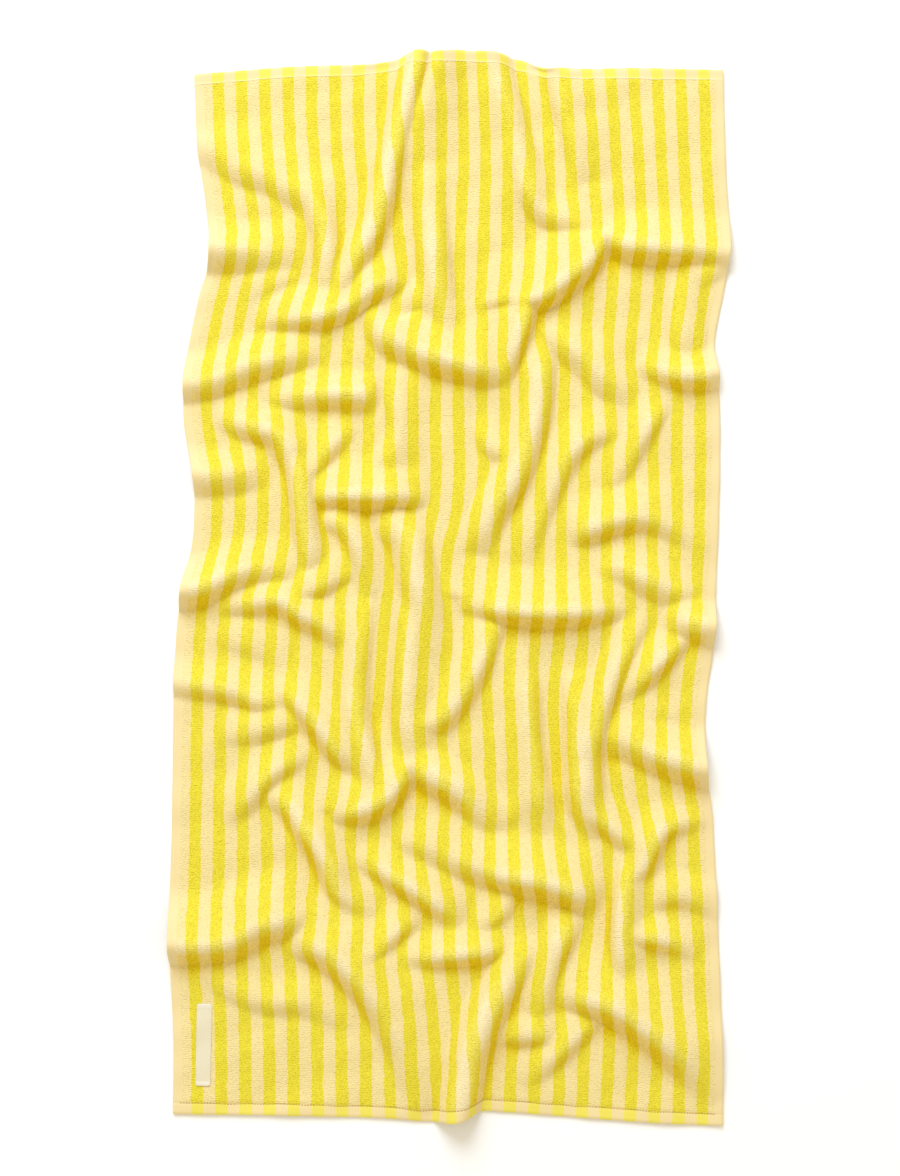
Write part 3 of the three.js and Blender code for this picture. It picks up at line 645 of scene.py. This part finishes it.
stitch = {
    "sides": 6,
    "reach": np.array([-0.5, -0.36, 0.0, 0.36, 0.5]),  # shares of its length
    "fullness": np.array([0.25, 0.85, 1.0, 0.85, 0.25]),  # shares of its radius
    "dip": 1.1,  # how many radii its ends sink into the cloth
}


def stitchRow(middle, ahead, upwards, length, radius):
    # Short threads in a row, each a round bar whose ends narrow and dip into the cloth.
    sides, reach, fullness = stitch["sides"], stitch["reach"], stitch["fullness"]
    dip = -stitch["dip"] * radius * (2 * reach)**2
    turn = np.arange(sides) * math.tau / sides
    side = np.cross(upwards, ahead)
    ring = (
        middle[:, None, None] + length * reach[None, :, None, None] * ahead[:, None, None]
        + dip[None, :, None, None] * upwards[:, None, None]
        + radius * (fullness[:, None] * np.cos(turn))[None, ..., None] * side[:, None, None]
        + radius * (fullness[:, None] * np.sin(turn))[None, ..., None] * upwards[:, None, None]
    )
    count, bands = len(middle), len(reach)
    start = np.arange(count)[:, None, None] * bands * sides
    a = start + np.arange(bands - 1)[None, :, None] * sides + np.arange(sides)
    b = start + np.arange(bands - 1)[None, :, None] * sides + (np.arange(sides) + 1) % sides
    walls = np.stack([a, b, b + sides, a + sides], axis=-1).reshape(-1, 4)
    nearEnd = start[:, 0] + np.arange(sides)[::-1]
    farEnd = start[:, 0] + (bands - 1) * sides + np.arange(sides)
    return ring.reshape(-1, 3), walls.tolist() + nearEnd.tolist() + farEnd.tolist()


hemSeam = {
    "pitch": 3.6,  # from one stitch to the next
    "length": 3.3,
    "radius": 0.55,
    "fromEdge": 9.0,  # where the row starts and ends
    "wander": 0.8,  # how far it strays from straight, in waves of two lengths
    "slowWave": 17.0,
    "fastWave": 7.3,
}


def hemStitches(name, fromBottom, lift):
    # A row of stitches across the towel, along its seam, with a slow wander.
    x = np.arange(hemSeam["fromEdge"], towel["width"] - hemSeam["fromEdge"], hemSeam["pitch"])
    stray = np.sin(x / hemSeam["slowWave"]) + np.sin(x / hemSeam["fastWave"] + 2.0)
    y = fromBottom + hemSeam["wander"] * stray / 2
    middle = onCloth(x, y, lift)
    ahead = np.gradient(middle, axis=0)
    ahead = ahead / np.linalg.norm(ahead, axis=1, keepdims=True)
    up = onCloth(x, y, lift + 1.0) - middle
    up = up - (up * ahead).sum(axis=1, keepdims=True) * ahead
    up = up / np.linalg.norm(up, axis=1, keepdims=True)
    points, faces = stitchRow(middle, ahead, up, hemSeam["length"], hemSeam["radius"])
    return makePiece(name, points, faces)


bottomStitches = hemStitches("bottomHemStitches", towel["hemWidth"], lift=0.1)
topStitches = hemStitches("topHemStitches", towel["length"] - towel["hemWidth"], lift=0.25)
print("hem stitches sewn")


def tapeSurface():
    # A small tape laid along Y: its outline is a rectangle with rounded corners, its ends are turned
    # in and stand a little higher, and it follows the terry below it at a small gap.
    columns, rows = labelTape["points"]
    halfWidth, halfLength = labelTape["width"] / 2, labelTape["length"] / 2
    s, t = np.meshgrid(np.linspace(-1, 1, columns), np.linspace(-1, 1, rows))
    y = t * halfLength
    overEnd = np.maximum(0, np.abs(y) - (halfLength - labelTape["corner"]))
    inset = labelTape["corner"] - np.sqrt(np.maximum(0, labelTape["corner"]**2 - overEnd**2))
    x = s * (halfWidth - inset)
    fromEnd = halfLength - np.abs(y)
    turned = np.clip((labelTape["turnIn"] - fromEnd) / labelTape["turnInEase"], 0, 1)
    lengthways, sideways = labelTape["waveLengths"]
    wave = labelTape["wave"] * np.sin(y / lengthways + x / sideways)
    wave = wave * np.clip(fromEnd / labelTape["waveFade"], 0, 1)
    angle = math.radians(labelTape["turn"])
    placeX = labelTape["centre"][0] + x * math.cos(angle) - y * math.sin(angle)
    placeY = labelTape["centre"][1] + x * math.sin(angle) + y * math.cos(angle)
    terryTop = lookUp(placeX, placeY) + towel["pile"]
    lower = np.dstack([placeX, placeY, terryTop + labelTape["gap"]])
    upper = lower.copy()
    upper[..., 2] += labelTape["thickness"] + labelTape["turnInRise"] * turned + wave
    return upper, lower, x + halfWidth, y + halfLength


tapeUpper, tapeLower, tapeX, tapeY = tapeSurface()
points, faces, cut = closedSheet(tapeUpper, tapeLower, tapeX, tapeY, towel["underStep"], labelTape["rim"])
labelPiece = makePiece("labelTape", points, faces, cut / labelTape["length"])


def tapeStitches():
    # One row of stitches down each long side of the tape and one across each end.
    rows, columns = tapeUpper.shape[:2]
    sides, ends = labelTape["sideStitches"], labelTape["endStitches"]
    down = np.linspace(3, rows - 4, sides).astype(int)
    over = np.linspace(2, columns - 3, ends).astype(int)
    row = np.concatenate([down, down, np.full(ends, 2), np.full(ends, rows - 3)])
    column = np.concatenate([np.full(sides, 1), np.full(sides, columns - 2), over, over])
    middle = tapeUpper[row, column] + np.array([0, 0, 0.05])
    up = np.tile([0.0, 0.0, 1.0], (len(row), 1))
    ahead = np.tile([0.0, 1.0, 0.0], (len(row), 1))
    ahead[2 * sides:] = [1.0, 0.0, 0.0]
    return stitchRow(middle, ahead, up, labelTape["stitchLength"], labelTape["stitchRadius"])


points, faces = tapeStitches()
labelStitches = makePiece("labelStitches", points, faces)
print("label laid on")


def setInputs(tree, node, links):
    # Each link is an input's name or number with the output or the value that it gets.
    for name, source in links:
        if isinstance(source, bpy.types.NodeSocket):
            tree.links.new(source, node.inputs[name])
        else:
            node.inputs[name].default_value = source


def addNode(tree, kind, *links, **values):
    # A shader node with its settings and its inputs.
    node = tree.nodes.new("ShaderNode" + kind)
    for name, value in values.items():
        setattr(node, name, value)
    setInputs(tree, node, links)
    return node


def maths(tree, operation, first, second=0.0, third=0.0):
    links = [(0, first), (1, second), (2, third)]
    return addNode(tree, "Math", *links, operation=operation).outputs[0]


def nearest(tree, place, size):
    # How far away the nearer of two opposite edges is.
    return maths(tree, "MINIMUM", place, maths(tree, "SUBTRACT", size, place))


def sineWave(tree, place, pitch):
    # A sine that repeats at every pitch.
    return maths(tree, "SINE", maths(tree, "MULTIPLY", math.tau, maths(tree, "DIVIDE", place, pitch)))


def times(tree, first, second):
    return addNode(tree, "VectorMath", (0, first), (1, second), operation="MULTIPLY").outputs[0]


def mixed(tree, share, first, second):
    return addNode(tree, "Mix", (0, share), (6, first), (7, second), data_type="RGBA").outputs[2]


def eased(tree, value, low, high, toLow=0.0, toHigh=1.0):
    links = [("Value", value), ("From Min", low), ("From Max", high), ("To Min", toLow),
             ("To Max", toHigh)]
    return addNode(tree, "MapRange", *links, interpolation_type="SMOOTHSTEP").outputs["Result"]


def noise(tree, place, scale, detail, roughness=0.5):
    # Flat noise over the cloth's own map.
    links = [("Vector", place), ("Scale", scale), ("Detail", detail), ("Roughness", roughness)]
    return addNode(tree, "TexNoise", *links, noise_dimensions="2D").outputs[0]


def newGroup(name, inputs, outputs):
    group = bpy.data.node_groups.new(name, "ShaderNodeTree")
    for label, kind, value in inputs:
        socket = group.interface.new_socket(label, in_out="INPUT", socket_type="NodeSocket" + kind)
        if value is not None:
            socket.default_value = value
    for label, kind in outputs:
        group.interface.new_socket(label, in_out="OUTPUT", socket_type="NodeSocket" + kind)
    return group, group.nodes.new("NodeGroupInput").outputs, group.nodes.new("NodeGroupOutput").inputs


def useGroup(tree, group, *links):
    return addNode(tree, "Group", *links, node_tree=group).outputs


weaveLook = {
    "stray": (0.35, 2.0, 0.8),  # scale, detail and size of the threads' unevenness
    "threadHeight": 0.35,  # against that of the ribs
    "fine": (1.3, 3.0),
    "shade": 0.08,
}

loopLook = {
    "stretch": (0.8, 1.1, 1.0),
    "uneven": 0.85,
    "rowPitch": 2.3,
    "rowStray": (0.12, 2.0, 1.6),
    "rowHeight": 0.15,
    "clump": (3.0, 0.6),  # detail and roughness
    "clumpHeight": 0.9,
    "fine": (0.62, 2.5, 0.65),
    "fineHeight": 1.1,
    "mean": 1.6,  # taken off, so that the pile meets the flat bands at the same height
    "loopShade": 0.3,
    "fineShade": 1.1,
    "clumpShade": 0.35,
}


def flatWeaveGroup():
    # Fine ribs one way and crossing threads the other, both a little uneven. Sizes in millimetres.
    inputs = [("Place", "Vector", None), ("Rib", "Float", 0.9), ("Thread", "Float", 0.5)]
    group, given, made = newGroup("flatWeave", inputs, [("Height", "Float"), ("Shade", "Float")])
    split = addNode(group, "SeparateXYZ", (0, given["Place"])).outputs
    scale, detail, size = weaveLook["stray"]
    stray = maths(group, "MULTIPLY", noise(group, given["Place"], scale, detail), size)
    ribs = sineWave(group, maths(group, "ADD", split[1], stray), given["Rib"])
    threads = sineWave(group, maths(group, "ADD", split[0], stray), given["Thread"])
    height = maths(group, "MULTIPLY_ADD", threads, weaveLook["threadHeight"], ribs)
    group.links.new(height, made["Height"])
    fine = noise(group, given["Place"], *weaveLook["fine"])
    group.links.new(maths(group, "MULTIPLY_ADD", height, weaveLook["shade"], fine), made["Shade"])
    return group


def loopPileGroup():
    # Rows of small loops: round cells of uneven size, pulled into rows across the towel, with
    # larger soft clumps where the loops lean together. Sizes in millimetres.
    inputs = [("Place", "Vector", None), ("Loop", "Float", 1.9), ("Clump", "Float", 7.0)]
    group, given, made = newGroup("loopPile", inputs, [("Height", "Float"), ("Shade", "Float")])
    scale = maths(group, "DIVIDE", 1.0, given["Loop"])
    stretched = addNode(group, "Mapping", ("Vector", given["Place"]), ("Scale", loopLook["stretch"]))
    cells = addNode(group, "TexVoronoi", ("Vector", stretched.outputs[0]), ("Scale", scale),
                    ("Randomness", loopLook["uneven"]), feature="SMOOTH_F1", voronoi_dimensions="2D")
    loops = maths(group, "SUBTRACT", 1.0, cells.outputs["Distance"])
    split = addNode(group, "SeparateXYZ", (0, given["Place"])).outputs
    strayScale, detail, size = loopLook["rowStray"]
    stray = maths(group, "MULTIPLY", noise(group, given["Place"], strayScale, detail), size)
    row = maths(group, "ADD", maths(group, "DIVIDE", split[1], loopLook["rowPitch"]), stray)
    rows = sineWave(group, row, 1.0)
    clumpScale = maths(group, "DIVIDE", 1.0, given["Clump"])
    clumps = noise(group, given["Place"], clumpScale, *loopLook["clump"])
    fine = noise(group, given["Place"], *loopLook["fine"])
    height = maths(group, "SUBTRACT", loops, loopLook["mean"])
    shade = 0.0
    for layer, share in ((rows, "rowHeight"), (clumps, "clumpHeight"), (fine, "fineHeight")):
        height = maths(group, "MULTIPLY_ADD", layer, loopLook[share], height)
    for layer, share in ((clumps, "clumpShade"), (fine, "fineShade"), (loops, "loopShade")):
        shade = maths(group, "MULTIPLY_ADD", layer, loopLook[share], shade)
    group.links.new(height, made["Height"])
    group.links.new(shade, made["Shade"])
    return group


flatWeave = flatWeaveGroup()
loopPile = loopPileGroup()


def newMaterial(name):
    material = bpy.data.materials.new(name)
    material.use_nodes = True
    shader = material.node_tree.nodes["Principled BSDF"]
    return material, material.node_tree, shader


def cutPlace(tree, size):
    # The place in the flat cloth, in millimetres, from the piece's own map.
    uv = addNode(tree, "UVMap", uv_map="cut").outputs[0]
    return times(tree, uv, (size, size, 0))


terry = {
    "yellow": (0.86, 0.765, 0.062),
    # Painted light: deeper colours for the shade in the hollows and paler ones for the highlight on the
    # crests, for each stripe.
    "yellowPaintedShade": (0.92, 0.71, 0.002),  # in the hollows, where light bounces from cloth to cloth
    "yellowPaintedHighlight": (0.88, 0.79, 0.13),
    "yellowGrain": (0.79, 0.72, 0.35),  # what is left of the colour between the loops
    "peach": (0.90, 0.76, 0.37),
    # Painted shade in the hollows and painted highlight on the crests for the peach stripes.
    "peachPaintedShade": (0.98, 0.79, 0.285),
    "peachPaintedHighlight": (0.92, 0.80, 0.48),
    "peachGrain": (0.91, 0.87, 0.76),
    "paintedShadeGrain": (0.84, 0.78, 0.65),  # painted shade: what is left of that in the hollows
    "flatYellow": (0.85, 0.75, 0.12),
    "flatPeach": (0.86, 0.71, 0.37),
    "hollows": (0.10, 0.42),  # shelter at which the painted shade starts and is full
    "crests": (2.0, 8.0),  # relief in millimetres, in the same way, for the painted highlight
    "wobble": (0.045, 1.0, 2.6),  # scale, detail and size of the slow and the quick stray of a stripe
    "fuzz": (0.55, 2.0, 3.6),
    "stripeBlur": 0.1,
    "sideBlur": 0.8,
    "endBlur": 0.6,
    "loop": 1.9,
    "clump": 7.0,
    "grain": (0.55, 1.15),  # shade of the pile at which the colour between the loops ends
    "rib": 1.1,
    "thread": 0.8,
    "weaveShade": (0.2, 0.88),
    "pileHeight": 0.7,  # millimetres of bump
    "weaveHeight": 0.05,
    "finish": {
        "Roughness": 0.95,
        "Specular IOR Level": 0.08,
        "Sheen Weight": 0.15,
        "Sheen Roughness": 0.45,
        "Sheen Tint": (1.0, 0.93, 0.65, 1.0),
    },
}


def color4(rgb):
    return (*rgb, 1.0)


def strayed(tree, place, along, look):
    # A coordinate moved by noise of this scale, detail and size.
    scale, detail, size = look
    centred = maths(tree, "SUBTRACT", noise(tree, place, scale, detail), 0.5)
    return maths(tree, "MULTIPLY_ADD", centred, size, along)


def finish(tree, shader, color, height, looks):
    # Colour and bump change over the surface, and the rest of the looks are even.
    bump = addNode(tree, "Bump", ("Height", height), ("Strength", 1.0), ("Distance", 1.0))
    setInputs(tree, shader, [("Base Color", color), ("Normal", bump.outputs[0]), *looks.items()])


def terryMaterial():
    material, tree, shader = newMaterial("stripedTerry")
    place = cutPlace(tree, towel["length"])
    x, y, _ = addNode(tree, "SeparateXYZ", (0, place)).outputs
    stray = strayed(tree, place, strayed(tree, place, x, terry["wobble"]), terry["fuzz"])
    quarter = towel["stripePair"] / 4
    end = towel["leftMargin"] + towel["stripePair"] * (towel["yellowStripes"] - 0.5)
    stray = maths(tree, "MAXIMUM", stray, towel["leftMargin"] - quarter)
    stray = maths(tree, "MINIMUM", stray, end + quarter)
    phase = maths(tree, "DIVIDE", maths(tree, "SUBTRACT", stray, towel["leftMargin"] + quarter),
                  towel["stripePair"] / math.tau)
    stripe = eased(tree, maths(tree, "COSINE", phase), -terry["stripeBlur"], terry["stripeBlur"])
    sides = (x, towel["width"], towel["selvedgeWidth"], terry["sideBlur"])
    ends = (y, towel["length"], towel["hemWidth"], terry["endBlur"])
    sideBand, endBand = [
        eased(tree, nearest(tree, way, size), band - blur, band + blur, 1.0, 0.0)
        for way, size, band, blur in (sides, ends)
    ]
    flat = maths(tree, "MAXIMUM", sideBand, endBand)
    pile = useGroup(tree, loopPile, ("Place", place), ("Loop", terry["loop"]), ("Clump", terry["clump"]))
    weave = useGroup(tree, flatWeave, ("Place", place), ("Rib", terry["rib"]), ("Thread", terry["thread"]))
    grain = eased(tree, pile["Shade"], *terry["grain"])
    # Where the cloth around hides the sky, shade is painted into the colour; on the crests, highlight is
    # painted.
    shelter = addNode(tree, "Attribute", attribute_name="shelter").outputs["Fac"]
    relief = addNode(tree, "Attribute", attribute_name="relief").outputs["Fac"]
    paintedShadeShare = eased(tree, shelter, *terry["hollows"])
    paintedHighlightShare = eased(tree, relief, *terry["crests"])
    # Each stripe colour with painted highlight on the crests and painted shade in the hollows.
    dyesWithPaintedLight = []
    for dye in ("peach", "yellow"):
        dyeWithPaintedHighlight = mixed(tree, paintedHighlightShare, color4(terry[dye]), color4(terry[dye + "PaintedHighlight"]))
        dyesWithPaintedLight.append(mixed(tree, paintedShadeShare, dyeWithPaintedHighlight, color4(terry[dye + "PaintedShade"])))
    pileColor = mixed(tree, stripe, *dyesWithPaintedLight)
    between = mixed(tree, stripe, color4(terry["peachGrain"]), color4(terry["yellowGrain"]))
    # Painted shade: the colour between the loops is darker still in the hollows.
    paintedShadeOnGrain = mixed(tree, paintedShadeShare, (1.0, 1.0, 1.0, 1.0), color4(terry["paintedShadeGrain"]))
    between = times(tree, between, paintedShadeOnGrain)
    between = mixed(tree, grain, between, (1.0, 1.0, 1.0, 1.0))
    pileColor = times(tree, pileColor, between)
    flatColor = mixed(tree, stripe, color4(terry["flatPeach"]), color4(terry["flatYellow"]))
    shadeWeave = maths(tree, "MULTIPLY_ADD", weave["Shade"], *terry["weaveShade"])
    color = mixed(tree, flat, pileColor, times(tree, flatColor, shadeWeave))
    pileBump = maths(tree, "MULTIPLY", pile["Height"], terry["pileHeight"] * millimetre)
    weaveBump = maths(tree, "MULTIPLY", weave["Height"], terry["weaveHeight"] * millimetre)
    height = maths(tree, "ADD", maths(tree, "MULTIPLY", pileBump, maths(tree, "SUBTRACT", 1.0, flat)),
                   maths(tree, "MULTIPLY", weaveBump, flat))
    finish(tree, shader, color, height, terry["finish"])
    return material


tape = {
    "cream": (0.80, 0.74, 0.54),
    "pale": (0.85, 0.80, 0.65),
    "blur": 0.4,  # millimetres over which the folded ends change colour
    "rib": 0.55,
    "thread": 0.8,
    "shade": (0.22, 0.87),
    "height": 0.035,  # millimetres of bump
    "finish": {"Roughness": 0.7, "Specular IOR Level": 0.3, "Sheen Weight": 0.1},
}

# Each thread's two shades.
threadColors = {
    "brownThread": ((0.40, 0.24, 0.05), (0.56, 0.37, 0.10)),
    "paleThread": ((0.82, 0.73, 0.5), (0.9, 0.83, 0.62)),
    "creamThread": ((0.72, 0.66, 0.5), (0.86, 0.8, 0.66)),
}

twist = {
    "scale": 1400.0,
    "detail": 2.0,
    "blur": (0.35, 0.65),
    "height": 0.1,
    "finish": {"Roughness": 0.75, "Sheen Weight": 0.1},
}


def tapeMaterial():
    material, tree, shader = newMaterial("wovenTape")
    place = cutPlace(tree, labelTape["length"])
    y = addNode(tree, "SeparateXYZ", (0, place)).outputs[1]
    start, end = labelTape["turnIn"] - tape["blur"], labelTape["turnIn"] + tape["blur"]
    turned = eased(tree, nearest(tree, y, labelTape["length"]), start, end, 1.0, 0.0)
    weave = useGroup(tree, flatWeave, ("Place", place), ("Rib", tape["rib"]), ("Thread", tape["thread"]))
    body = mixed(tree, turned, color4(tape["cream"]), color4(tape["pale"]))
    color = times(tree, body, maths(tree, "MULTIPLY_ADD", weave["Shade"], *tape["shade"]))
    height = maths(tree, "MULTIPLY", weave["Height"], tape["height"] * millimetre)
    finish(tree, shader, color, height, tape["finish"])
    return material


def threadMaterial(name):
    # Sewing thread: two shades that wind round it, with a little uneven bump.
    material, tree, shader = newMaterial(name)
    dark, light = threadColors[name]
    links = [("Vector", addNode(tree, "TexCoord").outputs["Object"]), ("Scale", twist["scale"]),
             ("Detail", twist["detail"])]
    wound = addNode(tree, "TexNoise", *links).outputs[0]
    color = mixed(tree, eased(tree, wound, *twist["blur"]), color4(dark), color4(light))
    height = maths(tree, "MULTIPLY", wound, twist["height"] * millimetre)
    finish(tree, shader, color, height, twist["finish"])
    return material


towelCloth.data.materials.append(terryMaterial())
labelPiece.data.materials.append(tapeMaterial())
bottomStitches.data.materials.append(threadMaterial("brownThread"))
topStitches.data.materials.append(threadMaterial("paleThread"))
labelStitches.data.materials.append(threadMaterial("creamThread"))
print("materials made")

for piece, slot in (
    (towelCloth, "towel_terry"),
    (bottomStitches, "towel_terry"),
    (topStitches, "towel_terry"),
    (labelPiece, "label_tape"),
    (labelStitches, "label_tape"),
):
    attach(piece, "root")
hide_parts("towel")
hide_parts("label")

# Lengths in metres and angles in degrees.
studio = {
    "floor": (0.96, 0.97, 0.98),
    "floorHalf": 12.0,
    "floorLevel": -0.0006,
    "floorRoughness": 0.9,
    "floorSpecular": 0.1,
    "keyPower": 205.0,
    "keyColor": (1.0, 1.13, 1.38),
    "keySize": 3.8,
    "keyDistance": 5.5,
    "keyHeight": 40.0,  # above the floor
    "keyTurn": 15.0,  # from the top hem's side, towards the left
    "fill": 0.84,
    "fillColor": (1.0, 0.90, 0.72, 1.0),
}

floorMesh = bpy.data.meshes.new("floor")
half, level = studio["floorHalf"], studio["floorLevel"]
corners = [(-half, -half, level), (half, -half, level), (half, half, level), (-half, half, level)]
floorMesh.from_pydata(corners, [], [(0, 1, 2, 3)])
floor = bpy.data.objects.new("floor", floorMesh)
bpy.context.scene.collection.objects.link(floor)
floorMaterial, floorTree, floorShader = newMaterial("paleFloor")
floorShader.inputs["Base Color"].default_value = color4(studio["floor"])
floorShader.inputs["Roughness"].default_value = studio["floorRoughness"]
floorShader.inputs["Specular IOR Level"].default_value = studio["floorSpecular"]
floorMesh.materials.append(floorMaterial)


def aim(thing, target):
    direction = Vector(target) - thing.location
    thing.rotation_euler = direction.to_track_quat("-Z", "Y").to_euler()


keyLight = bpy.data.lights.new("key", "AREA")
keyLight.shape = "DISK"
keyLight.size = studio["keySize"]
keyLight.energy = studio["keyPower"]
keyLight.color = studio["keyColor"]
key = bpy.data.objects.new("key", keyLight)
height, turn = math.radians(studio["keyHeight"]), math.radians(studio["keyTurn"])
key.location = (
    -studio["keyDistance"] * math.cos(height) * math.sin(turn),
    studio["keyDistance"] * math.cos(height) * math.cos(turn),
    studio["keyDistance"] * math.sin(height),
)
bpy.context.scene.collection.objects.link(key)
aim(key, (0, 0, 0))

world = bpy.data.worlds.new("studio")
world.use_nodes = True
world.node_tree.nodes["Background"].inputs["Color"].default_value = studio["fillColor"]
world.node_tree.nodes["Background"].inputs["Strength"].default_value = studio["fill"]
bpy.context.scene.world = world
bpy.context.scene.view_settings.view_transform = "Standard"

# The camera looks down from a little below straight above, from three metres away.
lens = {"distance": 3.0, "tilt": 4.2, "target": (-3.0, -11.5), "focal": 98.04, "sensor": 36.0}
tilt = math.radians(lens["tilt"])
camera = bpy.data.objects.new("camera", bpy.data.cameras.new("camera"))
camera.data.sensor_fit = "HORIZONTAL"
camera.data.sensor_width = lens["sensor"]
camera.data.lens = lens["focal"]
camera.data.clip_end = 50.0
targetX = (lens["target"][0] + shift[0]) * millimetre
targetY = (lens["target"][1] + shift[1]) * millimetre
camera.location = (
    targetX,
    targetY - lens["distance"] * math.sin(tilt),
    lens["distance"] * math.cos(tilt),
)
camera.rotation_euler = (tilt, 0, 0)
bpy.context.scene.collection.objects.link(camera)
bpy.context.scene.camera = camera
print("studio set")
